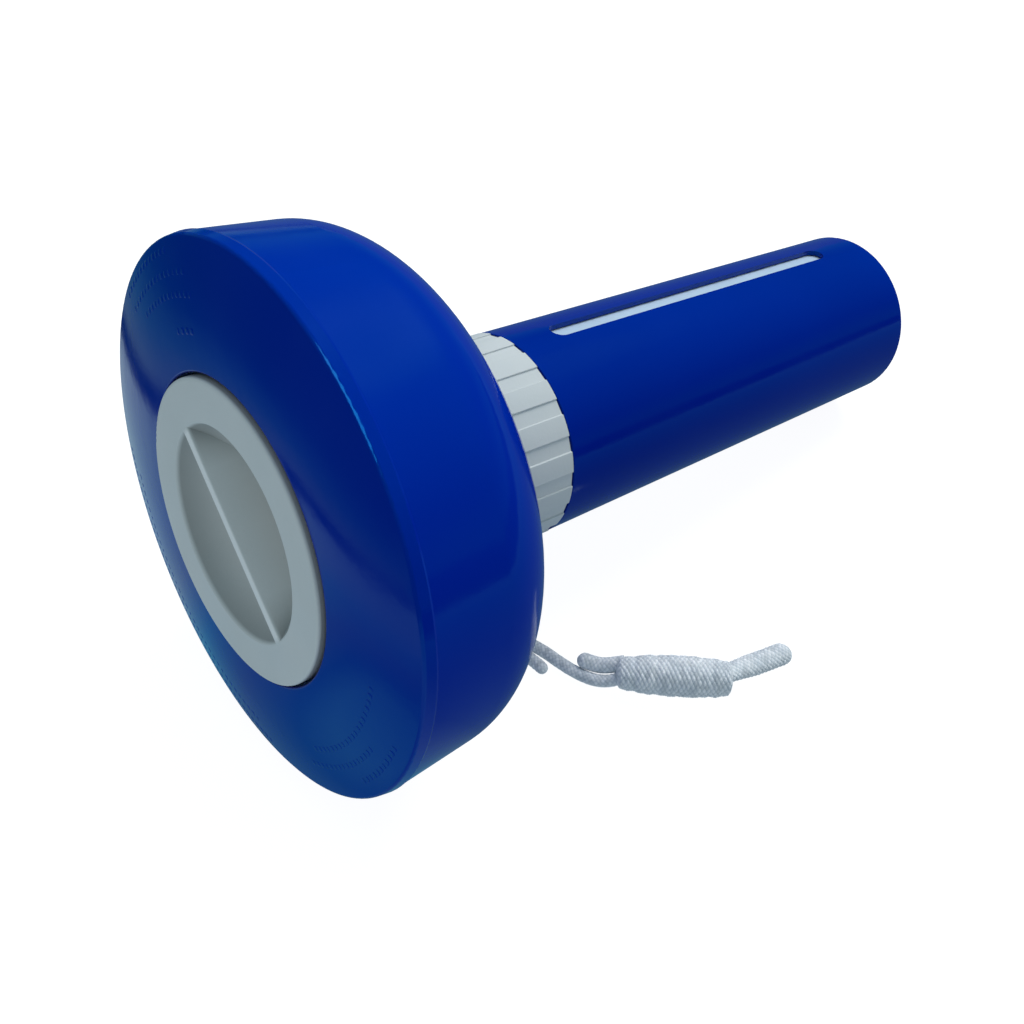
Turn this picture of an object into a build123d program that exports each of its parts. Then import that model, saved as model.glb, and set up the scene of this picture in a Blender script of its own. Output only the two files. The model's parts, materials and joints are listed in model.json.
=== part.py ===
from build123d import *
import math
import os

# Floating chlorine dispenser lying on its side. Millimetres, +Z up.
# The dispenser's own axis runs from the cap to the tube's closed end. Lengths along it ("at")
# are measured from the plane of the float's rim, positive towards the tube's end, and angles
# round it ("phi") from straight up, positive towards the side where the tether lies.
# The origin is on the floor, at the middle of the object's box without its tether.

# ---- driving dimensions ----
RIM_R = 63.5              # float rim, a 5 inch float
RIM_FACE_R = 63.1         # where the rim meets the face
WALL = 2.2                # float shells
SEAM_AT = 3.1             # weld between the two float shells
SEAM_STEP = 0.2           # back shell is this much smaller than the face shell
SEAM_BEVEL = 0.5          # length of the bevel that takes up the step
WALL_END_AT = 22.2        # where the float's wall begins to round over
WALL_END_R = 61.7
BACK_AT = 44.0            # flat back of the float
BACK_R = 32.4
FACE_AT = -3.9            # lip round the cap
RIM_FILLET = 0.8
LIP_FILLET = 0.5
DOME_SHARE = 0.72         # how much of the face's rise is left half way out to the rim
FUNNEL_AT = (18.0, 36.5)  # funnel from the throat down to the neck
NECK_BORE_R = 19.9
NECK_R = 21.5
NECK_END_AT = 56.8
BEAD_AT = (52.6, 54.4)    # snap bead round the neck, and its two chamfers
BEAD_R = 22.1
BEAD_CHAMFER = (0.6, 0.4)

CAP_AT = -5.1             # cap face
CAP_R = 34.7
CAP_FLANGE = 3.9
CAP_FILLET = 0.8
DISH_R = 25.0
DISH_DEPTH = 13.1
DISH_FILLET = 0.3
BAR_WIDTH = 2.5
BAR_DRAFT = 2.6           # extra width of the bar at the dish's floor, each side
BAR_FILLET = 0.5
BAR_PHI = 124.1           # direction of the bar
SKIRT_R = 30.9
SKIRT_END_AT = 11.0
SHELL = 2.0               # wall of the dish and the skirt
LUG_COUNT = 3             # bayonet lugs on the skirt
LUG_ARC = 16.0
LUG_R = 33.1
LUG_AT = (7.2, 9.8)
LUG_ROOT = 0.6            # how far a lug or stop is sunk in its wall

SEAT_AT = 0.4             # seat for the gasket, inside the lip
SEAT_R = 35.4
GASKET = (0.35, -1.15)    # bottom and top of the gasket
GASKET_R = (31.7, 35.0)
THROAT_R = 31.35
LEDGE_AT = 6.8            # underside of the bayonet ledge
GROOVE_END_AT = 10.5
GROOVE_R = 33.6
NOTCH_ARC = 20.0

COLLAR_AT = (44.8, 69.6)
COLLAR_R = 25.7
COLLAR_BORE_R = 21.9
BEAD_ROOM = 0.35          # play round the neck's bead
FLUTES = 18
FLUTE_DEPTH = 0.5
FLUTE_ARC = 8.2
FLUTE_PHI = 17.3
FLUTE_FILLET = 0.2
SHOULDER_AT = (57.4, 60.2)
SPIGOT_R = 22.85          # end of the sleeve, pressed into the collar
SPIGOT_ROOM = 0.05

TUBE_AT = (69.9, 199.0)
TUBE_R = (25.55, 23.2)
TUBE_WALL = 1.25
TUBE_END = 2.2
TUBE_FILLET = 1.6
TUBE_LIP_FILLET = 0.25
SLEEVE_GAP = 0.32
SLEEVE_WALL = 1.6
SLEEVE_END_AT = 194.5
MOUTH_AT = (63.6, 72.9)   # where the sleeve's bore widens from the neck's size
SLOT_AT = (81.8, 182.3)
SLOT_WIDTH = 5.4
SLOT_PHI = (-8.4, 171.6)
TUBE_TURN = 45.0
STOP_ARC = 6.0
STOP_AT = (70.4, 72.6)
STOP_RISE = 0.7           # the sleeve's stop, and the room for it inside the tube
RECESS_RISE = 0.95
RECESS_PLAY = (2.0, 0.4)  # spare degrees and spare length of that room
DRAIN_R = 1.7
DRAIN_RING_R = 12.0
DRAINS = 6
CUT = 1.0                 # how far a cutting tool runs past the face it opens

LUG_PHI = 156.0           # tether lug on the float's back
EYE_R = 47.0
EYE_AT = 45.6
EYE_HOLE_R = 2.75
EYE_OUTER_R = 5.2
EYE_THICK = 3.2
EYE_FILLET = 0.6
FIN_DEPTH = 10.0

CORD_D = 3.4
ARC_SHARE = 0.45          # share of a run that the arc at its end takes up
KNOT_AT = (49.6, -21.0, 5.4)
KNOT_R = 5.1
LOOP_R = 7.2
# The tether's X is measured from the centre of the float's rim, and its Z from the floor.
CORD_ROUTE = [
    (52.8, -22.0, 4.2),
    (55.4, -26.2, 2.4),
    (57.4, -31.0, 1.8),
    (58.5, -36.3, 1.8),
    (59.9, -41.2, 1.8),
    (62.1, -45.8, 1.9),
    (65.3, -49.2, 3.0),
    (69.4, -51.3, 4.9),
]
TAIL_ROUTE = [(49.4, -23.6, 3.6), (51.8, -27.2, 2.2), (53.6, -31.4, 1.8), (53.8, -36.0, 1.8)]
END_ROUTE = [(61.8, -38.8, 4.4), (64.0, -42.1, 3.5), (66.3, -45.05, 3.85), (69.9, -47.8, 5.3)]
GRIP = ((66.2, -48.7), (88.3, -68.0))   # middle line of the braided grip, on the floor plan
GRIP_R = 5.4
GRIP_END_R = (3.8, 4.2)
GRIP_BELLY = 0.5          # where along the grip it is thickest
BIGHT = ((86.6, -65.0), (108.2, -69.6))
BIGHT_WIDTH = 6.6
BIGHT_THICK = 4.2
BIGHT_HEIGHT = 2.15       # middle of the bight above the floor

# ---- the dispenser's own frame ----
def support_heights(tilt):
    """How far the float's rounded back and the tube's end edge reach below the rim's centre."""
    down, along = math.cos(tilt), math.sin(tilt)
    across, deep = WALL_END_R - BACK_R, BACK_AT - WALL_END_AT
    back = BACK_R * down + WALL_END_AT * along + math.hypot(across * down, deep * along)
    end = (TUBE_R[1] - TUBE_FILLET) * down + (TUBE_AT[1] - TUBE_FILLET) * along + TUBE_FILLET
    return back, end


def resting_tilt():
    """Tilt at which the float and the tube's end both touch the floor, by bisection."""
    low, high = 0.0, math.radians(45)
    for _ in range(40):
        middle = (low + high) / 2
        back, end = support_heights(middle)
        low, high = (middle, high) if back > end else (low, middle)
    return math.degrees(low)


TILT = resting_tilt()


def axis_frame(x=0.0, z=0.0):
    """Local +Z along the dispenser's axis, local +X straight up from it."""
    tilt = math.radians(TILT)
    return Plane(
        origin=(x, 0, z),
        x_dir=(math.sin(tilt), 0, math.cos(tilt)),
        z_dir=(math.cos(tilt), 0, -math.sin(tilt)),
    ).location


def spun(outline):
    """Solid of revolution about the axis from edges drawn in (radius, at)."""
    return revolve(Plane.XZ * make_face(outline), Axis.Z)


def turned(points):
    """Solid of revolution about the axis from (radius, at) points."""
    return spun(Polyline(*points, close=True).edges())


def disc(radius, start, end):
    return Pos(0, 0, start) * Cylinder(radius, end - start, align=(Align.CENTER, Align.CENTER, Align.MIN))


def ring(inner, outer, start, end):
    return disc(outer, start, end) - disc(inner, start - CUT, end + CUT)


def sector(inner, outer, start, end, phi, arc):
    """A block of ring, arc degrees wide and centred on phi."""
    half = math.radians(arc / 2)
    reach = outer * 1.5
    wedge = make_face(Polyline(
        [(0, 0), (reach, -reach * math.tan(half)), (reach, reach * math.tan(half))], close=True))
    return ring(inner, outer, start, end) & (Rot(0, 0, phi) * Pos(0, 0, start) * extrude(wedge, end - start))


def rounded_back(inset):
    """Edges of the float's wall and rounded back, from the weld to the flat back."""
    seam_r = RIM_R - SEAM_STEP
    slope = (seam_r - WALL_END_R) / (WALL_END_AT - SEAM_AT)
    across = WALL_END_R - BACK_R
    deep = BACK_AT - WALL_END_AT
    start = math.atan(slope * deep / across)
    wide = across / math.cos(start) - inset
    centre_at = (WALL_END_AT - BACK_AT * math.sin(start)) / (1 - math.sin(start))
    start = math.degrees(start)
    curve = EllipticalCenterArc(
        (BACK_R, centre_at), wide, BACK_AT - inset - centre_at, start_angle=start, arc_size=90 - start)
    return [Line((seam_r - inset, SEAM_AT), curve @ 0), curve]


# ---- float ----
def float_face_shell():
    middle_r = (SEAT_R + RIM_R) / 2
    dome = ThreePointArc((SEAT_R, FACE_AT), (middle_r, FACE_AT * DOME_SHARE), (RIM_FACE_R, 0))
    inside_r = (SEAT_R + WALL, RIM_R - WALL)
    inside = ThreePointArc(
        (inside_r[1], WALL), (middle_r, FACE_AT * DOME_SHARE + WALL), (inside_r[0], FACE_AT + WALL))
    rim = Polyline(
        (RIM_FACE_R, 0),
        (RIM_R, SEAM_AT - SEAM_BEVEL),
        (RIM_R - SEAM_STEP, SEAM_AT),
        (inside_r[1], SEAM_AT),
        (inside_r[1], WALL),
    )
    throat = Polyline(
        (inside_r[0], FACE_AT + WALL),
        (inside_r[0], SEAT_AT + WALL),
        (GROOVE_R + WALL, SEAT_AT + WALL),
        (GROOVE_R + WALL, GROOVE_END_AT + WALL),
        (THROAT_R + WALL, GROOVE_END_AT + WALL),
        (THROAT_R + WALL, FUNNEL_AT[0]),
        (NECK_BORE_R + WALL, FUNNEL_AT[1]),
        (NECK_BORE_R + WALL, BACK_AT - WALL),
        (NECK_BORE_R, BACK_AT - WALL),
        (NECK_BORE_R, FUNNEL_AT[1]),
        (THROAT_R, FUNNEL_AT[0]),
        (THROAT_R, GROOVE_END_AT),
        (GROOVE_R, GROOVE_END_AT),
        (GROOVE_R, LEDGE_AT),
        (THROAT_R, LEDGE_AT),
        (THROAT_R, SEAT_AT),
        (SEAT_R, SEAT_AT),
        (SEAT_R, FACE_AT),
    )
    shell = spun([dome, *rim.edges(), inside, *throat.edges()])
    shell = fillet(circles_at(shell, RIM_FACE_R, 0), RIM_FILLET)
    shell = fillet(circles_at(shell, SEAT_R, FACE_AT), LIP_FILLET)
    for i in range(LUG_COUNT):
        shell -= sector(THROAT_R - CUT, GROOVE_R, SEAT_AT - CUT, LEDGE_AT + CUT, 360 * i / LUG_COUNT, NOTCH_ARC)
    return shell


def circles_at(solid, radius, at):
    return solid.edges().filter_by(GeomType.CIRCLE).filter_by(
        lambda e: abs(e.radius - radius) < 0.01 and abs(e.center().Z - at) < 0.01)


def float_back_shell():
    neck = Polyline(
        (BACK_R, BACK_AT),
        (NECK_R, BACK_AT),
        (NECK_R, BEAD_AT[0]),
        (BEAD_R, BEAD_AT[0] + BEAD_CHAMFER[0]),
        (BEAD_R, BEAD_AT[1] - BEAD_CHAMFER[1]),
        (NECK_R, BEAD_AT[1]),
        (NECK_R, NECK_END_AT),
        (NECK_BORE_R, NECK_END_AT),
        (NECK_BORE_R, BACK_AT - WALL),
        (BACK_R, BACK_AT - WALL),
    )
    inside_seam = Line((RIM_R - SEAM_STEP - WALL, SEAM_AT), (RIM_R - SEAM_STEP, SEAM_AT))
    shell = spun([*rounded_back(0), *neck.edges(), *rounded_back(WALL), inside_seam])
    hollow = spun([
        *rounded_back(WALL / 2),
        *Polyline((BACK_R, BACK_AT - WALL / 2), (0, BACK_AT - WALL / 2), (0, SEAM_AT),
                  (RIM_R - SEAM_STEP - WALL / 2, SEAM_AT)).edges()])
    return shell + (tether_lug() - hollow)


def tether_lug():
    """Fin with a round eye on the float's rounded back."""
    eye = Rot(0, 0, LUG_PHI) * Pos(EYE_R, 0, EYE_AT) * Rot(90, 0, 0)
    root = Pos(0, -FIN_DEPTH / 2, 0) * Box(2 * EYE_OUTER_R, FIN_DEPTH, EYE_THICK)
    fin = Cylinder(EYE_OUTER_R, EYE_THICK) + root
    fin = fillet(fin.edges().filter_by(GeomType.CIRCLE), EYE_FILLET)
    return eye * (fin - Cylinder(EYE_HOLE_R, EYE_THICK + 2 * CUT))


# ---- cap ----
def dish_sphere(extra=0.0):
    """Sphere that hollows the dish, or with its wall's thickness added, the dish's underside."""
    radius = (DISH_R ** 2 + DISH_DEPTH ** 2) / (2 * DISH_DEPTH)
    return Pos(0, 0, CAP_AT + DISH_DEPTH - radius) * Sphere(radius + extra)


def cap_body():
    below_face = disc(CAP_R, CAP_AT, CAP_AT + 2 * DISH_DEPTH)
    bowl = dish_sphere(SHELL) & below_face
    body = disc(CAP_R, CAP_AT, CAP_AT + CAP_FLANGE) + bowl - dish_sphere()
    body = fillet(circles_at(body, CAP_R, CAP_AT), CAP_FILLET)
    body = fillet(circles_at(body, DISH_R, CAP_AT), DISH_FILLET)
    return body + grip_bar(bowl)


def grip_bar(bowl):
    """Bar across the dish, level with the ring and wider towards the dish's floor."""
    half = BAR_WIDTH / 2
    floor_at = CAP_AT + DISH_DEPTH + SHELL / 2
    section = make_face(Polyline([
        (0, -half, CAP_AT), (0, half, CAP_AT),
        (0, half + BAR_DRAFT, floor_at), (0, -half - BAR_DRAFT, floor_at)], close=True))
    bar = extrude(section, DISH_R + SHELL / 4, dir=(1, 0, 0), both=True)
    bar = fillet(bar.edges().filter_by(Axis.X).group_by(Axis.Z)[0], BAR_FILLET)
    return Rot(0, 0, BAR_PHI) * (bar & bowl)


def cap_skirt():
    """Skirt under the cap's ring, with the bayonet lugs."""
    skirt = ring(SKIRT_R - SHELL, SKIRT_R, CAP_AT + CAP_FLANGE, SKIRT_END_AT)
    for i in range(LUG_COUNT):
        skirt += sector(SKIRT_R - LUG_ROOT, LUG_R, LUG_AT[0], LUG_AT[1], 360 * i / LUG_COUNT, LUG_ARC)
    return skirt


def cap_gasket():
    return ring(GASKET_R[0], GASKET_R[1], GASKET[1], GASKET[0])


# ---- flow control ----
def tube_radius(at):
    share = (at - TUBE_AT[0]) / (TUBE_AT[1] - TUBE_AT[0])
    return TUBE_R[0] + (TUBE_R[1] - TUBE_R[0]) * share


def sleeve_radius(at):
    return tube_radius(at) - TUBE_WALL - SLEEVE_GAP


def slot_cutter(phi):
    length = SLOT_AT[1] - SLOT_AT[0]
    middle = (SLOT_AT[0] + SLOT_AT[1]) / 2
    plan = Plane(origin=(0, 0, middle), x_dir=(0, 0, 1), z_dir=(1, 0, 0))
    return Rot(0, 0, phi) * extrude(plan * SlotOverall(length, SLOT_WIDTH), TUBE_R[0] + CUT)


def ribbed_collar():
    outline = Circle(COLLAR_R)
    width = math.radians(FLUTE_ARC) * COLLAR_R
    for i in range(FLUTES):
        outline -= Rot(0, 0, FLUTE_PHI + 360 * i / FLUTES) * Pos(COLLAR_R, 0) * Rectangle(2 * FLUTE_DEPTH, width)
    outline = fillet(outline.vertices(), FLUTE_FILLET)
    body = Pos(0, 0, COLLAR_AT[0]) * extrude(outline, COLLAR_AT[1] - COLLAR_AT[0])
    return body - turned([
        (0, COLLAR_AT[0] - CUT),
        (COLLAR_BORE_R, COLLAR_AT[0] - CUT),
        (COLLAR_BORE_R, BEAD_AT[0] - BEAD_ROOM),
        (BEAD_R + BEAD_ROOM, BEAD_AT[0] + BEAD_ROOM),
        (BEAD_R + BEAD_ROOM, BEAD_AT[1] - BEAD_ROOM),
        (COLLAR_BORE_R, BEAD_AT[1] + BEAD_ROOM),
        (COLLAR_BORE_R, SHOULDER_AT[0]),
        (NECK_BORE_R, SHOULDER_AT[0]),
        (NECK_BORE_R, SHOULDER_AT[1]),
        (SPIGOT_R + SPIGOT_ROOM, SHOULDER_AT[1]),
        (SPIGOT_R + SPIGOT_ROOM, COLLAR_AT[1] + CUT),
        (0, COLLAR_AT[1] + CUT),
    ])


def flow_sleeve():
    """Fixed slotted sleeve inside the tube, open at both ends."""
    start, end = TUBE_AT[0], SLEEVE_END_AT
    body = turned([
        (NECK_BORE_R, SHOULDER_AT[1]),
        (SPIGOT_R, SHOULDER_AT[1]),
        (SPIGOT_R, start),
        (sleeve_radius(start), start),
        (sleeve_radius(end), end),
        (sleeve_radius(end) - SLEEVE_WALL, end),
        (sleeve_radius(start) - SLEEVE_WALL, MOUTH_AT[1]),
        (NECK_BORE_R, MOUTH_AT[0]),
    ])
    stop_r = sleeve_radius(STOP_AT[0])
    body += sector(stop_r - LUG_ROOT, stop_r + STOP_RISE, STOP_AT[0], STOP_AT[1], 0, STOP_ARC)
    for phi in SLOT_PHI:
        body -= slot_cutter(phi + TUBE_TURN)
    return body


def outer_tube():
    start, end = TUBE_AT
    body = turned([(0, start), (TUBE_R[0], start), (TUBE_R[1], end), (0, end)])
    body = fillet(circles_at(body, TUBE_R[1], end), TUBE_FILLET)
    body = fillet(circles_at(body, TUBE_R[0], start), TUBE_LIP_FILLET)
    body -= turned([
        (0, start - CUT),
        (TUBE_R[0] - TUBE_WALL, start - CUT),
        (TUBE_R[0] - TUBE_WALL, start),
        (tube_radius(end) - TUBE_WALL, end - TUBE_END),
        (0, end - TUBE_END),
    ])
    recess_r = sleeve_radius(STOP_AT[0]) + RECESS_RISE
    recess_arc = STOP_ARC + TUBE_TURN + RECESS_PLAY[0]
    recess_end = STOP_AT[1] + RECESS_PLAY[1]
    body -= sector(NECK_R, recess_r, start - CUT, recess_end, -TUBE_TURN / 2, recess_arc)
    for phi in SLOT_PHI:
        body -= slot_cutter(phi)
    drain = disc(DRAIN_R, end - TUBE_END - CUT, end + CUT)
    body -= drain
    for i in range(DRAINS):
        body -= Rot(0, 0, 360 * i / DRAINS) * Pos(DRAIN_RING_R, 0, 0) * drain
    return body


# ---- tether ----
def cord_tube(name, route):
    """Round tube along straight runs and the largest tangent arcs that they allow."""
    points = [Vector(*p) for p in route]
    radii = []
    for before, here, after in zip(points, points[1:], points[2:]):
        runs = (here - before, after - here)
        turn = math.radians(runs[0].get_angle(runs[1]))
        radii.append(ARC_SHARE * min(r.length for r in runs) / math.tan(turn / 2))
    path = FilletPolyline(*points, radius=radii)
    start = Plane(origin=path @ 0, z_dir=path % 0)
    tube = sweep(start * Circle(CORD_D / 2), path)
    section = math.pi * CORD_D ** 2 / 4
    print(f"{name}: length {path.length:.1f}, radii {[round(r, 1) for r in radii]},"
          f" volume over section x length {tube.volume / (section * path.length):.4f}")
    return tube


def eye_centre(frame):
    return (frame * Rot(0, 0, LUG_PHI) * Pos(EYE_R, 0, EYE_AT)).position


def tether_knot(frame, below_rim):
    """Loop of cord through the lug's eye, and the knot that closes it."""
    eye = eye_centre(frame)
    knot = (below_rim * Pos(*KNOT_AT)).position
    across = hole_axis(frame)
    towards = (knot - eye).normalized()
    normal = across.cross(towards)
    loop = Plane(origin=eye + towards * LOOP_R, x_dir=towards, z_dir=normal).location * Torus(LOOP_R, CORD_D / 2)
    return loop + Pos(knot) * Sphere(KNOT_R)


def hole_axis(frame):
    """Direction of the eye's hole, square to the fin."""
    turned_frame = frame * Rot(0, 0, LUG_PHI)
    return (turned_frame * Pos(0, 1, 0)).position - turned_frame.position


def plan_frame(line, height):
    """Local +X along a line on the floor plan, at a height above the floor."""
    (x0, y0), (x1, y1) = line
    angle = math.degrees(math.atan2(y1 - y0, x1 - x0))
    return Pos(x0, y0, height) * Rot(0, 0, angle), math.hypot(x1 - x0, y1 - y0)


def tether_sleeve():
    place, length = plan_frame(GRIP, GRIP_R)
    outline = make_face([
        Line((0, 0, 0), (0, 0, GRIP_END_R[0])),
        ThreePointArc((0, 0, GRIP_END_R[0]), (length * GRIP_BELLY, 0, GRIP_R), (length, 0, GRIP_END_R[1])),
        Line((length, 0, GRIP_END_R[1]), (length, 0, 0)),
        Line((length, 0, 0), (0, 0, 0)),
    ])
    return place * revolve(outline, Axis.X)


def tether_bight():
    place, length = plan_frame(BIGHT, BIGHT_HEIGHT)
    slab = extrude(Pos(length / 2, 0, 0) * SlotOverall(length, BIGHT_WIDTH), BIGHT_THICK / 2, both=True)
    edges = slab.faces().filter_by(Axis.Z).edges()
    return place * fillet(edges, BIGHT_THICK * ARC_SHARE)


def object_nodes():
    return {
        "float_face_shell": float_face_shell(),
        "float_back_shell": float_back_shell(),
        "cap_body": cap_body(),
        "cap_skirt": cap_skirt(),
        "cap_gasket": cap_gasket(),
        "ribbed_collar": ribbed_collar(),
        "flow_sleeve": flow_sleeve(),
        "outer_tube": outer_tube(),
    }


def tether_nodes(frame):
    below_rim = Pos(frame.position.X, 0, 0)
    return {
        "tether_knot": tether_knot(frame, below_rim),
        "tether_cord": below_rim * cord_tube("tether_cord", CORD_ROUTE),
        "tether_tail": below_rim * cord_tube("tether_tail", TAIL_ROUTE),
        "tether_end": below_rim * cord_tube("tether_end", END_ROUTE),
        "tether_sleeve": below_rim * tether_sleeve(),
        "tether_bight": below_rim * tether_bight(),
    }


def main():
    os.makedirs("parts", exist_ok=True)
    local = object_nodes()
    box = (axis_frame() * Compound(children=[s.moved(Location()) for s in local.values()])).bounding_box()
    frame = axis_frame(-(box.min.X + box.max.X) / 2, -box.min.Z)
    axis = (frame * Pos(0, 0, 1)).position - frame.position
    print("rim centre", frame.position, "axis", axis, "tilt", round(TILT, 3))
    print("eye centre", eye_centre(frame), "hole axis", hole_axis(frame))
    nodes = {name: frame * solid for name, solid in local.items()}
    nodes.update(tether_nodes(frame))
    for name, solid in nodes.items():
        export_step(solid, f"parts/{name}.step")


main()
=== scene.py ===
import bpy
import json
import math
import numpy as np
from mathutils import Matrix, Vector


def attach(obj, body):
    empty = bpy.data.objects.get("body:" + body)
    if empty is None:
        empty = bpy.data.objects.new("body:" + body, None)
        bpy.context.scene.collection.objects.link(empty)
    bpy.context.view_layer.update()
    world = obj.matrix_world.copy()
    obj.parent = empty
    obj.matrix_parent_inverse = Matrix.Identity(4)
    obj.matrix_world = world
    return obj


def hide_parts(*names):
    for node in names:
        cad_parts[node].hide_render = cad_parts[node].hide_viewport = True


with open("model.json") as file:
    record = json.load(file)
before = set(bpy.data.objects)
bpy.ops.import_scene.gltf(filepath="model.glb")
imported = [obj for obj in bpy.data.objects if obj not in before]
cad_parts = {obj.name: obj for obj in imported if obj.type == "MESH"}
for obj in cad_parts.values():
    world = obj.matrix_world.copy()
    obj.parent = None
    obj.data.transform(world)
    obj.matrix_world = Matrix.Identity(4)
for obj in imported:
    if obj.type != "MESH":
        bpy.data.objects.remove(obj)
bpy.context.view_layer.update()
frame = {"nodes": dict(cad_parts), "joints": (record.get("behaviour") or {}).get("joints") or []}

MM = 0.001
scene = bpy.context.scene
nodes = frame["nodes"]

# ---- the dispenser's own axis, from the tube's hinge ----
# "along" is measured from the plane of the float's rim, "phi" in degrees from straight up
# towards the tether's side.
hinge = next(j for j in frame["joints"] if j["name"] == "tube_turn")
RIM = Vector(hinge["pos_m"])
ALONG = Vector(hinge["axis"]).normalized()
UP = (Vector((0, 0, 1)) - ALONG * ALONG.z).normalized()
SIDE = ALONG.cross(UP)


def outward(phi):
    return UP * math.cos(math.radians(phi)) + SIDE * math.sin(math.radians(phi))


def on_axis(radius, phi, along):
    """Point in the row frame from millimetres about the dispenser's axis."""
    return RIM + ALONG * (along * MM) + outward(phi) * (radius * MM)


def by_rim(x, y, z):
    """Point in the row frame: X from the rim's centre, Z from the floor, in millimetres."""
    return Vector((RIM.x + x * MM, y * MM, z * MM))


# ---- camera ----
CAMERA_AT = (-59.42, -169.24, 275.04)   # by the rim, in millimetres
CAMERA_DOWN = 50.16                     # degrees below level
CAMERA_HEADING = 52.495                 # degrees from +X towards +Y
CAMERA_LENS = 44.18                     # millimetres, on a 36 mm sensor


def add_camera():
    data = bpy.data.cameras.new("camera")
    data.lens = CAMERA_LENS
    data.sensor_width = 36
    data.clip_start = 0.01
    camera = bpy.data.objects.new("camera", data)
    camera.location = by_rim(*CAMERA_AT)
    camera.rotation_euler = (math.radians(90 - CAMERA_DOWN), 0, math.radians(CAMERA_HEADING - 90))
    scene.collection.objects.link(camera)
    scene.camera = camera


# ---- lines ----
def nurbs(name, points):
    curve = bpy.data.curves.new(name, "CURVE")
    curve.dimensions = "3D"
    curve.resolution_u = 24
    spline = curve.splines.new("NURBS")
    spline.points.add(len(points) - 1)
    for point, place in zip(spline.points, points):
        point.co = (*place, 1)
    spline.order_u = 3
    spline.use_endpoint_u = True
    return bpy.data.objects.new(name, curve)


def line_of(points, step):
    """Points at an even step along the NURBS curve with these control points."""
    holder = nurbs("line", points)
    mesh = bpy.data.meshes.new_from_object(holder)
    line = np.array([v.co for v in mesh.vertices])
    bpy.data.meshes.remove(mesh)
    bpy.data.objects.remove(holder)
    return even(line, step)


def even(line, step):
    gaps = np.linalg.norm(np.diff(line, axis=0), axis=1)
    reach = np.concatenate([[0], np.cumsum(gaps)])
    places = np.linspace(0, reach[-1], max(8, int(reach[-1] / step)))
    return np.stack([np.interp(places, reach, line[:, i]) for i in range(3)], axis=1)


def carried_normals(line):
    """Two normals of the line at each point, turning as little as they can."""
    tangents = np.gradient(line, axis=0)
    tangents /= np.linalg.norm(tangents, axis=1)[:, None]
    first = np.cross(tangents[0], (0, 0, 1))
    if np.linalg.norm(first) < 0.1:
        first = np.cross(tangents[0], (1, 0, 0))
    normals = [first / np.linalg.norm(first)]
    for tangent in tangents[1:]:
        normal = normals[-1] - tangent * normals[-1].dot(tangent)
        normals.append(normal / np.linalg.norm(normal))
    normals = np.array(normals)
    return normals, np.cross(tangents, normals)


# ---- braided cord ----
def scatter(a, b):
    """Repeatable value from 0 to 1 for each pair of whole numbers."""
    wave = np.sin(a * 12.9898 + b * 78.233) * 43758.5453
    return wave - np.floor(wave)


def braid(across, along):
    """Height and shade, 0 to 1, of two sets of crossing strands, over and under in turn."""
    right, left = across + along, across - along
    over = (np.floor(right) + np.floor(left)) % 2 < 1
    top = np.where(over, right, left) % 1
    beside = np.where(over, left, right) % 1
    crown = np.sqrt(np.clip(1 - (2 * top - 1) ** 2, 0, 1))
    shade = scatter(np.floor(right), np.floor(left))
    return crown * (0.5 + 0.5 * np.sin(np.pi * beside)) * (0.65 + 0.35 * shade), shade


def braided_tube(line, radius, strands, cell, depth, around, flat=(1, 1)):
    """Vertices, faces, groove depths and strand shades of a braided tube. radius is a function
    of the distances from the two ends, and flat its shares along the two normals."""
    normals, sides = carried_normals(line)
    gaps = np.linalg.norm(np.diff(line, axis=0), axis=1)
    reach = np.concatenate([[0], np.cumsum(gaps)])
    turns = np.linspace(0, 1, around, endpoint=False)
    angle = turns * 2 * math.pi
    verts, heights, shades = [], [], []
    for i, place in enumerate(line):
        base = radius(reach[i], reach[-1] - reach[i])
        height, shade = braid(turns * strands, reach[i] / cell)
        out = base - depth * min(1, base / depth / 3) * (1 - height)
        turned = (flat[0] * np.cos(angle)[:, None] * normals[i]
                  + flat[1] * np.sin(angle)[:, None] * sides[i])
        ring = place + out[:, None] * turned
        verts.append(ring)
        heights.append(height)
        shades.append(shade)
    count = len(line)
    verts = np.concatenate(verts + [line[:1], line[-1:]])
    heights = np.concatenate(heights + [[1.0], [1.0]])
    shades = np.concatenate(shades + [[0.5], [0.5]])
    faces = []
    for i in range(count - 1):
        for j in range(around):
            k = (j + 1) % around
            here, beyond = i * around, (i + 1) * around
            faces.append((here + j, here + k, beyond + k, beyond + j))
    first, last = count * around, count * around + 1
    for j in range(around):
        k = (j + 1) % around
        faces.append((first, k, j))
        faces.append((last, (count - 1) * around + j, (count - 1) * around + k))
    return verts, faces, {"height": heights, "shade": shades}


def mesh_piece(name, parts, material, body="float"):
    """One object from several (vertices, faces, values at the vertices) parts."""
    verts, faces, values = [], [], {}
    for part_verts, part_faces, part_values in parts:
        start = sum(len(v) for v in verts)
        verts.append(np.asarray(part_verts))
        faces += [tuple(i + start for i in face) for face in part_faces]
        for key, value in part_values.items():
            values.setdefault(key, []).append(value)
    mesh = bpy.data.meshes.new(name)
    mesh.from_pydata(np.concatenate(verts).tolist(), [], faces)
    for key, value in values.items():
        layer = mesh.attributes.new(key, "FLOAT", "POINT")
        layer.data.foreach_set("value", np.concatenate(value).astype(np.float32))
    mesh.polygons.foreach_set("use_smooth", [True] * len(mesh.polygons))
    mesh.update()
    piece = bpy.data.objects.new(name, mesh)
    scene.collection.objects.link(piece)
    piece.data.materials.append(material)
    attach(piece, body)
    return piece


# ---- materials ----
def new_material(name, colour, roughness):
    material = bpy.data.materials.new(name)
    material.use_nodes = True
    tree = material.node_tree
    shader = tree.nodes["Principled BSDF"]
    shader.inputs["Base Color"].default_value = (*colour, 1)
    shader.inputs["Roughness"].default_value = roughness
    return material, tree, shader


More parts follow.
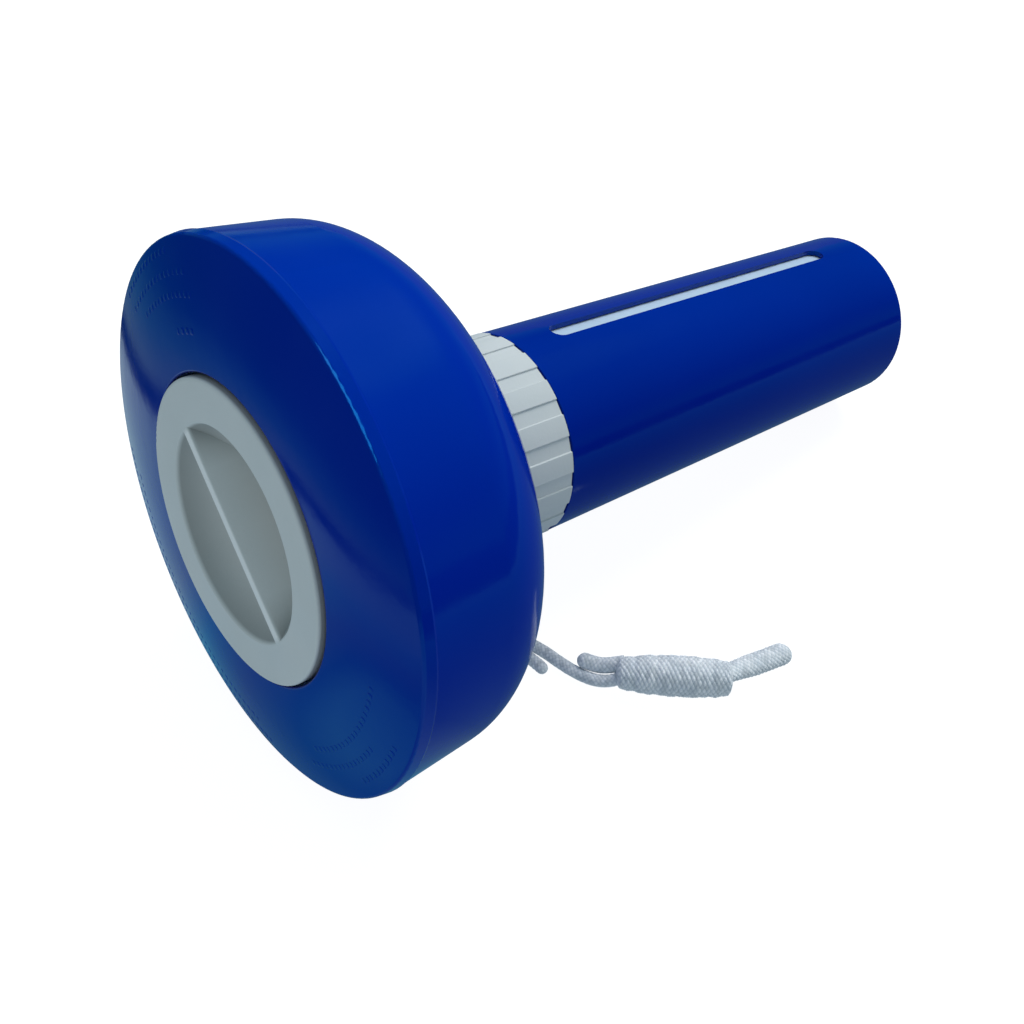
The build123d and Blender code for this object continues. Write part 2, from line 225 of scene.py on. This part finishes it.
def add_node(tree, kind, **values):
    node = tree.nodes.new(kind)
    for name, value in values.items():
        setattr(node, name, value)
    return node


def noise(tree, scale, detail, stretch=None):
    """Noise from about 0 to 1, with a scale per metre."""
    source = add_node(tree, "ShaderNodeTexCoord").outputs["Object"]
    if stretch:
        mapping = add_node(tree, "ShaderNodeMapping")
        mapping.inputs["Scale"].default_value = stretch
        tree.links.new(source, mapping.inputs["Vector"])
        source = mapping.outputs["Vector"]
    texture = add_node(tree, "ShaderNodeTexNoise")
    texture.inputs["Scale"].default_value = scale
    texture.inputs["Detail"].default_value = detail
    tree.links.new(source, texture.inputs["Vector"])
    return texture.outputs["Fac"]


def ramp(tree, source, stops):
    """Colour of a value from 0 to 1, between stops of (value, colour)."""
    node = add_node(tree, "ShaderNodeValToRGB")
    elements = node.color_ramp.elements
    while len(elements) < len(stops):
        elements.new(0.5)
    for element, (place, colour) in zip(elements, stops):
        element.position = place
        element.color = (*colour, 1)
    tree.links.new(source, node.inputs["Fac"])
    return node.outputs["Color"]


def grey(value):
    return (value, value, value)


def share_of(tree, place, operation, vector, start, end):
    """0 to 1 between two values of the dot product with a vector, or of the distance from it."""
    measure = add_node(tree, "ShaderNodeVectorMath", operation=operation)
    measure.inputs[1].default_value = vector
    tree.links.new(place, measure.inputs[0])
    share = add_node(tree, "ShaderNodeMapRange")
    share.inputs["From Min"].default_value = start
    share.inputs["From Max"].default_value = end
    tree.links.new(measure.outputs["Value"], share.inputs["Value"])
    return share.outputs["Result"]


def radius_share(tree, place, reach):
    """0 on the dispenser's axis to 1 at a distance from it, in metres."""
    from_rim = add_node(tree, "ShaderNodeVectorMath", operation="SUBTRACT")
    from_rim.inputs[1].default_value = RIM
    tree.links.new(place, from_rim.inputs[0])
    across = add_node(tree, "ShaderNodeVectorMath", operation="CROSS_PRODUCT")
    across.inputs[1].default_value = ALONG
    tree.links.new(from_rim.outputs["Vector"], across.inputs[0])
    return share_of(tree, across.outputs["Vector"], "DISTANCE", (0, 0, 0), 0, reach)


def blend(tree, factor, first, second, kind="MIX"):
    """Colour of two: each is a socket or a plain colour, and factor a socket or a number."""
    mix = add_node(tree, "ShaderNodeMix", data_type="RGBA", blend_type=kind)
    colours = [socket for socket in mix.inputs if socket.type == "RGBA"]
    pairs = ((mix.inputs["Factor"], factor), (colours[0], first), (colours[1], second))
    for socket, value in pairs:
        if isinstance(value, bpy.types.NodeSocket):
            tree.links.new(value, socket)
        elif isinstance(value, tuple):
            socket.default_value = (*value, 1)
        else:
            socket.default_value = value
    return next(socket for socket in mix.outputs if socket.type == "RGBA")


def multiply(tree, first, second):
    return blend(tree, 1.0, first, second, "MULTIPLY")


def bump(tree, shader, sources):
    """Chain of bumps: sources is a list of (socket, strength, distance)."""
    before = None
    for socket, strength, distance in sources:
        node = add_node(tree, "ShaderNodeBump")
        node.inputs["Strength"].default_value = strength
        node.inputs["Distance"].default_value = distance
        tree.links.new(socket, node.inputs["Height"])
        if before:
            tree.links.new(before.outputs["Normal"], node.inputs["Normal"])
        before = node
    tree.links.new(before.outputs["Normal"], shader.inputs["Normal"])


def glossy_plastic(name, deep, bright):
    """Moulded polypropylene: a slow flow pattern in the colour, haze and hairline scuffs."""
    material, tree, shader = new_material(name, deep, 0.2)
    flow = noise(tree, 14, 2)
    colour = ramp(tree, flow, [(0.3, deep), (0.7, bright)])
    tree.links.new(colour, shader.inputs["Base Color"])
    haze = noise(tree, 55, 4)
    rough = ramp(tree, haze, [(0.3, grey(0.08)), (0.75, grey(0.17))])
    tree.links.new(rough, shader.inputs["Roughness"])
    ripple = noise(tree, 45, 2)
    peel = noise(tree, 420, 2)
    scuff = noise(tree, 260, 3, stretch=(1, 14, 14))
    bump(tree, shader, [
        (ripple, 0.15, 0.0004),
        (peel, 0.05, 0.0004),
        (scuff, 0.03, 0.0002)])
    shader.inputs["IOR"].default_value = 1.49
    shader.inputs["Specular Tint"].default_value = (0.02, 0.6, 1.0, 1)
    return material


def matt_plastic(name, base, shade, roughness, grain, painted_light=None):
    """Spark-textured moulding: fine grain and faint soiling. The optional last function paints
    shade and highlight into its colour.
    """
    material, tree, shader = new_material(name, base, roughness)
    soil_and_shade = noise(tree, 30, 5)
    colour = ramp(tree, soil_and_shade, [(0.3, shade), (0.62, base)])
    # Painted shade and highlight, where given.
    if painted_light:
        colour = painted_light(tree, colour)
    tree.links.new(colour, shader.inputs["Base Color"])
    haze = noise(tree, 90, 4)
    rough = ramp(tree, haze, [
        (0.3, grey(roughness - 0.08)), (0.7, grey(roughness + 0.08))])
    tree.links.new(rough, shader.inputs["Roughness"])
    texture = noise(tree, 1500, 3)
    bump(tree, shader, [(texture, grain, 0.0002)])
    return material


def braided_nylon(name):
    """Nylon yarn: painted shade, dark in the grooves and pale on the crowns, uneven from strand
    to strand, with fine filaments.
    """
    material, tree, shader = new_material(name, (0.5, 0.56, 0.6), 0.55)
    groove = add_node(tree, "ShaderNodeAttribute", attribute_name="height").outputs["Fac"]
    # Painted shade by groove depth: dark in the grooves, pale on the crowns.
    colour = ramp(tree, groove, [
        (0.05, (0.56, 0.61, 0.65)), (0.45, (0.80, 0.85, 0.88)), (0.9, (0.97, 0.98, 0.99))])
    strand = add_node(tree, "ShaderNodeAttribute", attribute_name="shade").outputs["Fac"]
    yarn = ramp(tree, strand, [(0.0, grey(0.78)), (0.6, grey(0.93)), (1.0, grey(1.0))])
    soil_and_shade = noise(tree, 240, 4)
    dirt = ramp(tree, soil_and_shade, [(0.3, (0.86, 0.89, 0.92)), (0.6, grey(1.0))])
    both = multiply(tree, colour, yarn)
    both = multiply(tree, both, dirt)
    tree.links.new(both, shader.inputs["Base Color"])
    filament = noise(tree, 2600, 2)
    bump(tree, shader, [(filament, 0.5, 0.0002)])
    shader.inputs["Sheen Weight"].default_value = 0.25
    shader.inputs["Sheen Roughness"].default_value = 0.4
    return material


def rubber(name):
    """Matt black rubber with a fine grain."""
    material, tree, shader = new_material(name, grey(0.03), 0.7)
    texture = noise(tree, 900, 3)
    rough = ramp(tree, texture, [(0.3, grey(0.6)), (0.7, grey(0.8))])
    tree.links.new(rough, shader.inputs["Roughness"])
    bump(tree, shader, [(texture, 0.2, 0.0002)])
    return material


# Places on the cap in millimetres: the dish's edge, the depths between which painted shade
# darkens it, how far under its edge the painted edge shade starts, and the grip bar that crosses
# it, whose crest gets a painted highlight.
DISH_R = 25.0
DISH_FROM_TO = (-4.9, 8.0)
DISH_EDGE_DEPTH = 0.7
BAR_PHI = 124.1
BAR_HALF = 1.3
# Colour of the painted highlight on the grip bar's crest.
BAR_CREST_HIGHLIGHT = (0.93, 0.95, 0.93)


def dish_painted_light(tree, colour):
    """Painted shade in the cap's dish, darker and warmer with depth and darker under its edge,
    and a painted highlight on the crest of the grip bar."""
    place = add_node(tree, "ShaderNodeTexCoord").outputs["Object"]
    start, end = (RIM.dot(ALONG) + at * MM for at in DISH_FROM_TO)
    depth = share_of(tree, place, "DOT_PRODUCT", ALONG, start, end)
    # Painted shade: darker and warmer with depth in the dish.
    deep = ramp(tree, depth, [(0.0, grey(1.0)), (0.2, grey(0.98)), (1.0, (0.97, 0.90, 0.87))])
    radius = radius_share(tree, place, DISH_R * MM)
    # Painted shade: darker towards the dish's edge, just under it.
    edge = ramp(tree, radius, [
        (0.6, grey(1.0)), (0.78, (0.85, 0.84, 0.83)),
        (0.92, (0.62, 0.61, 0.60)), (1.0, (0.50, 0.49, 0.48))])
    inside = share_of(tree, place, "DOT_PRODUCT", ALONG, start, start + DISH_EDGE_DEPTH * MM)
    # All the dish's painted shade together.
    soil_and_shade = multiply(tree, deep, blend(tree, inside, grey(1.0), edge))
    across = outward(BAR_PHI + 90)
    middle = RIM.dot(across)
    over = share_of(
        tree, place, "DOT_PRODUCT", across, middle - BAR_HALF * MM, middle + BAR_HALF * MM)
    # Painted highlight along the grip bar's crest, inside the dish.
    crest = ramp(tree, over, [
        (0.0, grey(0.0)), (0.1, grey(1.0)), (0.9, grey(1.0)), (1.0, grey(0.0))])
    within = ramp(tree, radius, [(0.95, grey(1.0)), (1.0, grey(0.0))])
    lit_crest = multiply(tree, crest, within)
    return blend(tree, lit_crest, multiply(tree, colour, soil_and_shade), BAR_CREST_HIGHLIGHT)


def dress_cad():
    """Materials for the CAD nodes that show."""
    materials = {
        "float_face_shell": float_blue,
        "float_back_shell": float_blue,
        "outer_tube": tube_blue,
        "cap_body": cap_white,
        "cap_skirt": cap_white,
        "ribbed_collar": collar_white,
        "flow_sleeve": sleeve_white,
        "cap_gasket": rubber("gasket_rubber"),
    }
    for node, material in materials.items():
        slots = nodes[node].data.materials
        slots.clear()
        slots.append(material)


# ---- tether ----
# Millimetres by the rim, the routes as in the CAD.
CORD_R = 1.7
CORD_ROUTE = [
    (52.8, -22.0, 4.2),
    (55.4, -26.2, 2.4),
    (57.4, -31.0, 1.8),
    (58.5, -36.3, 1.8),
    (59.9, -41.2, 1.8),
    (62.1, -45.8, 1.9),
    (65.3, -49.2, 3.0),
    (69.4, -51.3, 4.9),
]
TAIL_ROUTE = [(49.4, -23.6, 3.6), (51.8, -27.2, 2.2), (53.6, -31.4, 1.8), (53.8, -36.0, 1.8)]
END_ROUTE = [(61.8, -38.8, 4.4), (64.0, -42.1, 3.5), (66.3, -45.05, 3.85), (69.9, -47.8, 5.3)]
END_R = 2.15              # the melted end is a little swollen
KNOT_AT = (49.6, -21.0, 5.4)
KNOT_R = 3.3              # of the wraps' middle line
KNOT_TURNS = 3
KNOT_PITCH = 2.45
LUG_PHI = 156.0           # the lug's eye, about the dispenser's axis
EYE_R = 47.0
EYE_ALONG = 45.6
LOOP_R = 7.2              # of the loop through the eye
LOOP_STEPS = 200
WRAP_STEPS = 60           # in one turn
GRIP = ((66.2, -48.7), (88.3, -68.0))
GRIP_R = 5.4
GRIP_END_R = (3.8, 4.2)
GRIP_BELLY = 1.4          # swell of its middle over its ends
BIGHT_LINE = [
    (87.4, -65.1, 4.4),
    (91.0, -65.9, 4.0),
    (98.6, -67.4, 2.6),
    (103.4, -68.5, 2.3),
    (107.9, -69.5, 2.2),
]
BIGHT_R = 3.0
BIGHT_FLAT = (1.08, 0.74)
BIGHT_NECK = 9            # it widens over this length from the grip
STRANDS = 8
CELL = 1.15               # length of one crossing of the braid
RING_STEP = 0.16          # between rings of vertices along a braid
BIGHT_STEP = 0.14


def dome(share, least=0.02):
    """Share of the full radius at a share of the way into a round end."""
    return math.sqrt(max(least, 1 - (1 - share) ** 2))


def cord_radius(start_round, end_round, radius=CORD_R):
    """Radius of a cord whose cut ends are melted round."""
    def at(from_start, from_end):
        share = 1.0
        if start_round:
            share = min(share, from_start / (radius * MM))
        if end_round:
            share = min(share, from_end / (radius * MM))
        return radius * MM * dome(share)
    return at


def cord_part(line, radius, strands=STRANDS, cell=CELL, depth=0.22, around=64, flat=(1, 1)):
    """Braided tube with its cell and groove depth in millimetres."""
    return braided_tube(line, radius, strands, cell * MM, depth * MM, around, flat)


def route_part(route, start_round, end_round, radius=CORD_R):
    """Smooth line of a route, and the braided cord on it."""
    line = line_of([by_rim(*p) for p in route], RING_STEP * MM)
    return line, cord_part(line, cord_radius(start_round, end_round, radius))


def add_tether():
    line, part = route_part(CORD_ROUTE, False, False)
    lead = mesh_piece("tether_lead", [part], nylon)
    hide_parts("tether_cord")
    _, part = route_part(TAIL_ROUTE, False, True)
    tail = mesh_piece("knot_tail", [part], nylon)
    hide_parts("tether_tail")
    _, part = route_part(END_ROUTE, True, False, END_R)
    stub = mesh_piece("cord_end", [part], nylon)
    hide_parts("tether_end")
    others = [tail, stub, add_grip(), add_bight(), add_knot()]


def add_grip():
    """Fat braided grip: a sleeve over the doubled cord, tucked in at both ends."""
    (x0, y0), (x1, y1) = GRIP
    ends_at = np.array([by_rim(x0, y0, GRIP_R), by_rim(x1, y1, GRIP_R)])
    line = even(ends_at, RING_STEP * MM)

    def radius(from_start, from_end):
        share = from_start / (from_start + from_end)
        ends = GRIP_END_R[0] * (1 - share) + GRIP_END_R[1] * share
        belly = ends + GRIP_BELLY * math.sin(math.pi * share) ** 0.75
        lump = 0.10 * math.sin(share * 31.0) + 0.08 * math.sin(share * 67.0 + 1.0)
        near = min(from_start, from_end) / MM
        tuck = dome(min(1, near / 1.3), least=0.05)
        return min(belly + lump, GRIP_R) * tuck * MM

    part = cord_part(line, radius, strands=14, depth=0.5, around=168)
    grip = mesh_piece("braided_grip", [part], nylon)
    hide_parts("tether_sleeve")
    return grip


def add_bight():
    """The doubled cord beyond the grip, drawn flat, and closed at its turn."""
    line = line_of([by_rim(*p) for p in BIGHT_LINE], BIGHT_STEP * MM)

    def radius(from_start, from_end):
        neck = 0.8 + 0.2 * min(1, from_start / (BIGHT_NECK * MM))
        share = min(1, from_end / (BIGHT_R * MM))
        return BIGHT_R * MM * neck * dome(share)

    part = cord_part(line, radius, strands=10, cell=1.1, depth=0.34, around=110, flat=BIGHT_FLAT)
    bight = mesh_piece("cord_bight", [part], nylon)
    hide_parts("tether_bight")
    return bight


def add_knot():
    """Loop through the lug's eye, and the wraps that close it."""
    eye = on_axis(EYE_R, LUG_PHI, EYE_ALONG)
    knot = by_rim(*KNOT_AT)
    towards = (knot - eye).normalized()
    across = outward(LUG_PHI + 90)
    across = (across - towards * across.dot(towards)).normalized()
    loop = []
    for i in range(LOOP_STEPS):
        angle = 2 * math.pi * i / LOOP_STEPS
        away = towards * (LOOP_R * MM * (1 - math.cos(angle)))
        loop.append(eye + away + across * (LOOP_R * MM * math.sin(angle)))
    loop = np.roll(np.array(loop), LOOP_STEPS // 2, axis=0)     # its ends meet in the knot
    parts = [cord_part(even(loop, RING_STEP * MM), cord_radius(False, False))]
    third = towards.cross(across)
    wraps = []
    for i in range(WRAP_STEPS * KNOT_TURNS + 1):
        angle = 2 * math.pi * i / WRAP_STEPS
        slide = (i / WRAP_STEPS - KNOT_TURNS / 2) * KNOT_PITCH * MM
        turned = across * math.cos(angle) + third * math.sin(angle)
        wraps.append(knot + towards * slide + turned * (KNOT_R * MM))
    wraps = np.array(wraps)
    wraps[:, 2] = np.maximum(wraps[:, 2], CORD_R * MM)          # the knot rests on the floor
    parts.append(cord_part(even(wraps, RING_STEP * MM), cord_radius(True, True)))
    piece = mesh_piece("eye_knot", parts, nylon)
    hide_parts("tether_knot")
    return piece


# ---- float mouldings ----
# The domed face as (radius, along), in millimetres: at the cap's seat and at the rim.
FACE_LIP = (35.4, -3.9)
FACE_RIM = (63.1, 0.0)
FACE_BOW = 0.72           # share of the lip's height that is left halfway out
# Arcs of dashes: radius, first phi, last phi.
DASH_ARCS = (
    (60.5, 295, 321), (55.8, 297, 330), (51.3, 304, 333), (44.0, 323, 332),
    (50.2, 89, 136), (54.7, 108, 142), (58.9, 100, 121),
    (59.6, 166, 250), (55.2, 170, 244),
)
DASH_STEP = 2.15
DASH_LONG, DASH_SHORT = 1.5, 0.9        # every fourth is short
DASH_WIDTH = 1.5
DASH_RISE = 0.08


def face_height(radius):
    """Where the domed face is, along the axis, at a radius in millimetres."""
    share = (radius - FACE_LIP[0]) / (FACE_RIM[0] - FACE_LIP[0])
    lip, middle, rim = FACE_LIP[1], FACE_LIP[1] * FACE_BOW, FACE_RIM[1]
    return (lip * (1 - share) * (1 - 2 * share) + 4 * middle * share * (1 - share)
            + rim * share * (2 * share - 1))


def dash(radius, phi, length):
    """Low rounded bar moulded on the face, curved with its ring."""
    verts, faces = [], []
    steps, arc = 8, math.degrees(length / radius)
    section = ((-0.5, -0.15), (-0.42, 0.75), (-0.2, 1.0), (0.2, 1.0), (0.42, 0.75), (0.5, -0.15))
    for i in range(steps + 1):
        share = i / steps
        thin = math.sqrt(max(0.1, 1 - (2 * share - 1) ** 6))
        for side, lift in section:
            r = radius + side * DASH_WIDTH * thin
            height = lift * DASH_RISE * (thin if lift > 0 else 1)
            verts.append(on_axis(r, phi + (share - 0.5) * arc, face_height(r) - height))
    count = len(section)
    for i in range(steps):
        for j in range(count - 1):
            k = i * count + j
            faces.append((k, k + 1, k + count + 1, k + count))
    faces.append(tuple(range(count))[::-1])
    faces.append(tuple(steps * count + j for j in range(count)))
    return np.array(verts), faces, {}


def add_face_moulding():
    """Plain dashes in concentric arcs, in place of moulded lettering."""
    parts = []
    for radius, first, last in DASH_ARCS:
        count = int(math.radians(last - first) * radius / DASH_STEP) + 1
        for i in range(count):
            phi = first + i * (last - first) / (count - 1)
            parts.append(dash(radius, phi, DASH_LONG if i % 4 else DASH_SHORT))
    mesh_piece("face_moulding", parts, float_blue)


# ---- stage ----
FLOOR_SIZE = 4            # metres
FLOOR_GLOW = 0.93


def emitter(name):
    """Material that only glows."""
    material = bpy.data.materials.new(name)
    material.use_nodes = True
    tree = material.node_tree
    tree.nodes.clear()
    glow = add_node(tree, "ShaderNodeEmission")
    out = add_node(tree, "ShaderNodeOutputMaterial")
    tree.links.new(glow.outputs["Emission"], out.inputs["Surface"])
    return material, tree, glow


def add_floor():
    """Pale paper that only the camera sees. The world lights the object from below, and the
    reflected sheet shows in its gloss."""
    bpy.ops.mesh.primitive_plane_add(size=FLOOR_SIZE, location=(0, 0, 0))
    floor = bpy.context.object
    floor.name = "floor"
    material, _, shader = new_material("floor_paper", grey(0.25), 0.9)
    shader.inputs["Emission Color"].default_value = (1, 1, 1, 1)
    shader.inputs["Emission Strength"].default_value = FLOOR_GLOW
    floor.data.materials.append(material)
    floor.visible_diffuse = False
    floor.visible_glossy = False


# The reflected sheet, in millimetres by the rim.
SHEET_HALF = 1500
SHEET_Z = -0.5
SHEET_CENTRE = (-60, -30)               # its rings of colour are round this point,
SHEET_REACH = 180                       # and their last is this far out
FAR_EDGE = 188.0                        # where the far edge crosses the rim's X
FAR_ROOM = 250                          # the room's colours reach this far past it
NEAR_EDGE = 371.5                       # how far out the near edge is,
NEAR_EDGE_TOWARDS = (0.53, -0.848)      # in this direction
NEAR_FADE = (-220, 30)                  # and where its colours start and end
TUBE_SIDE = (30, -10)                   # X between which the colours by the tube fade out


def add_reflected_sheet():
    """Sheet that only reflections see. Rings of colour show in the face, bands in the float's
    wall and the tube, and past the sheet's far edge a dark gap and a dim room."""
    mesh = bpy.data.meshes.new("reflected_sheet")
    corners = [(-1, 1), (1, 1), (1, -1), (-1, -1)]
    places = [by_rim(x * SHEET_HALF, y * SHEET_HALF, SHEET_Z) for x, y in corners]
    mesh.from_pydata(places, [], [range(len(corners))])
    sheet = bpy.data.objects.new("reflected_sheet", mesh)
    scene.collection.objects.link(sheet)
    material, tree, glow = emitter("sheet_glow")
    place = add_node(tree, "ShaderNodeTexCoord").outputs["Object"]
    ring = share_of(tree, place, "DISTANCE", by_rim(*SHEET_CENTRE, 0), 0, SHEET_REACH * MM)
    paper = ramp(tree, ring, [
        (0.0, (0.06, 0.36, 0.46)), (0.12, (0.06, 0.34, 0.44)), (0.2, (0.02, 0.17, 0.30)),
        (0.3, (0.08, 0.20, 0.32)), (0.4, (0.08, 0.33, 0.50)), (0.5, (0.24, 0.40, 0.52)),
        (0.63, (0.27, 0.45, 0.60)), (0.8, (0.35, 0.54, 0.64)), (1.0, (0.42, 0.57, 0.67))])
    by_tube, by_face = (RIM.x + x * MM for x in TUBE_SIDE)
    under = share_of(tree, place, "DOT_PRODUCT", (1, 0, 0), by_tube, by_face)
    near_edge = RIM.x * NEAR_EDGE_TOWARDS[0] + NEAR_EDGE * MM
    start, end = (near_edge + at * MM for at in NEAR_FADE)
    before = share_of(tree, place, "DOT_PRODUCT", (*NEAR_EDGE_TOWARDS, 0), start, end)
    tube_side = ramp(tree, before, [
        (0.0, (0.06, 0.13, 0.25)), (0.6, (0.06, 0.26, 0.40)), (0.87, (0.16, 0.42, 0.52)),
        (0.89, (0.0, 0.0, 0.03)), (1.0, (0.0, 0.03, 0.10))])
    lit = blend(tree, under, tube_side, paper)
    diagonal = Vector((1, -1, 0)).normalized()
    edge = RIM.x * diagonal.x - FAR_EDGE * MM * diagonal.x
    across = share_of(tree, place, "DOT_PRODUCT", diagonal, edge - FAR_ROOM * MM, edge)
    room = ramp(tree, across, [
        (0.0, (0.0, 0.06, 0.08)), (0.45, (0.0, 0.08, 0.12)), (0.75, (0.04, 0.21, 0.27)),
        (0.9, (0.15, 0.27, 0.31)), (0.94, (0.0, 0.03, 0.08))])
    on_paper = share_of(tree, place, "DOT_PRODUCT", diagonal, edge - 2 * MM, edge + 2 * MM)
    colour = blend(tree, on_paper, room, lit)
    tree.links.new(colour, glow.inputs["Color"])
    mesh.materials.append(material)
    sheet.visible_camera = False
    sheet.visible_diffuse = False
    sheet.visible_shadow = False


LIGHTS_AT = (40, 0, 50)   # millimetres by the rim


def add_light(name, towards, distance, size, power, colour=(1, 1, 1), diffuse=True, glossy=True,
              only=()):
    """Round soft box facing the float, in a direction from it. With only, it lights nothing but
    these nodes."""
    target = by_rim(*LIGHTS_AT)
    place = target + Vector(towards).normalized() * distance
    data = bpy.data.lights.new(name, "AREA")
    data.shape = "DISK"
    data.size = size
    data.energy = power
    data.color = colour
    light = bpy.data.objects.new(name, data)
    light.location = place
    light.rotation_euler = (target - place).to_track_quat("-Z", "Y").to_euler()
    light.visible_diffuse = diffuse
    light.visible_glossy = glossy
    scene.collection.objects.link(light)
    if only:
        lit = bpy.data.collections.new(name + "_lights")
        for node in only:
            lit.objects.link(nodes[node])
        light.light_linking.receiver_collection = lit


def add_world():
    """Pale light, stronger from the floor's side, and a darker, bluer room in reflections."""
    world = bpy.data.worlds.new("studio")
    scene.world = world
    world.use_nodes = True
    tree = world.node_tree
    pale = tree.nodes["Background"]
    place = add_node(tree, "ShaderNodeTexCoord")
    axes = add_node(tree, "ShaderNodeSeparateXYZ")
    tree.links.new(place.outputs["Generated"], axes.inputs["Vector"])
    height = add_node(tree, "ShaderNodeMapRange")
    height.inputs["From Min"].default_value = -1
    tree.links.new(axes.outputs["Z"], height.inputs["Value"])
    light = ramp(tree, height.outputs["Result"], [
        (0.4, (0.46, 0.55, 0.62)), (0.6, (0.35, 0.41, 0.45))])
    tree.links.new(light, pale.inputs["Color"])
    pale.inputs["Strength"].default_value = 1.0
    colour = ramp(tree, height.outputs["Result"], [
        (0.2, (0.0, 0.02, 0.05)), (0.33, (0.0, 0.05, 0.09)), (0.44, (0.03, 0.22, 0.28)),
        (0.6, (0.0, 0.12, 0.18)), (0.85, (0.0, 0.36, 0.50))])
    room = add_node(tree, "ShaderNodeBackground")
    tree.links.new(colour, room.inputs["Color"])
    path = add_node(tree, "ShaderNodeLightPath")
    mix = add_node(tree, "ShaderNodeMixShader")
    tree.links.new(path.outputs["Is Glossy Ray"], mix.inputs["Fac"])
    tree.links.new(pale.outputs["Background"], mix.inputs[1])
    tree.links.new(room.outputs["Background"], mix.inputs[2])
    tree.links.new(mix.outputs["Shader"], tree.nodes["World Output"].inputs["Surface"])


def add_studio():
    """The world, a soft key, and a box whose reflection is the highlight along the rim."""
    add_world()
    add_light("key", (0.61, 0.20, 0.765), 1.1, 0.8, 9.4, glossy=False)
    add_light("rim_box", (-0.48, -0.10, 0.87), 1.2, 0.85, 11, colour=(1.3, 0.85, 1.2),
              diffuse=False, only=("float_face_shell", "float_back_shell"))
    scene.view_settings.view_transform = "Standard"


add_camera()
nylon = braided_nylon("braided_nylon")
add_tether()
float_blue = glossy_plastic("float_blue_plastic", (0.0, 0.014, 0.32), (0.0, 0.020, 0.36))
tube_blue = glossy_plastic("tube_blue_plastic", (0.0, 0.009, 0.245), (0.0, 0.012, 0.285))
# The cap's dish gets painted shade, and its grip bar's crest a painted highlight.
cap_white = matt_plastic(
    "cap_white_plastic", (0.73, 0.765, 0.755), (0.68, 0.72, 0.705), 0.55, 0.25, dish_painted_light)
collar_white = matt_plastic(
    "collar_white_plastic", (0.61, 0.645, 0.64), (0.56, 0.605, 0.595), 0.45, 0.12)
sleeve_white = matt_plastic(
    "sleeve_white_plastic", (0.50, 0.63, 0.76), (0.46, 0.59, 0.72), 0.4, 0.1)
dress_cad()
add_face_moulding()
add_floor()
add_reflected_sheet()
add_studio()
